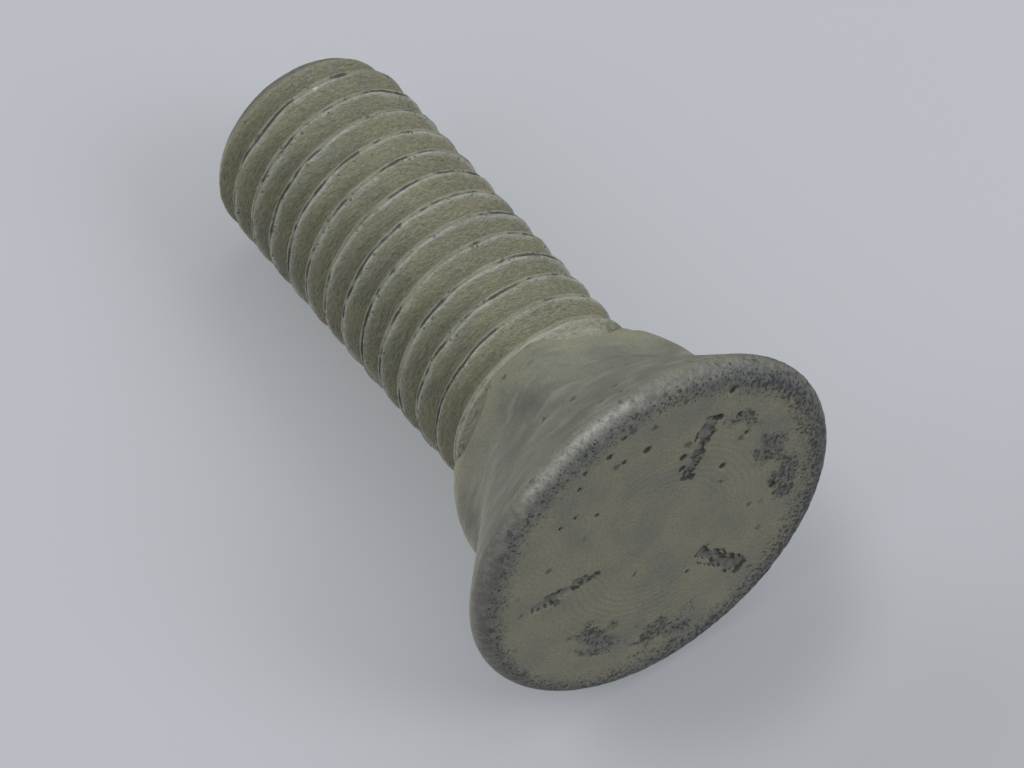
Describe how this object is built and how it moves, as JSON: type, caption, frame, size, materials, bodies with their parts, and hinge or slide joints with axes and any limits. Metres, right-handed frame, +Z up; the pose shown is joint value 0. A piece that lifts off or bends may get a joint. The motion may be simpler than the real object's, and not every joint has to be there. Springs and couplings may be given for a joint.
{
  "type": "plow bolt",
  "caption": "Plow bolt with a flat round countersunk head, a square neck that stops it turning, and a coarse right-hand threaded shank.",
  "frame": {"origin": "centre of the head's flat face, on the ground", "axes": "+Z runs up the shank from the head to the thread's end; X and Y are square to the neck's flats"},
  "size_m": [0.0238, 0.0238, 0.0376],
  "materials": {
    "coated_steel": "dull grey-olive zinc or phosphate coating over forged steel, with worn rim and bright crests"
  },
  "bodies": {
    "root": {"plow_bolt": "coated_steel"}
  },
  "joints": []
}
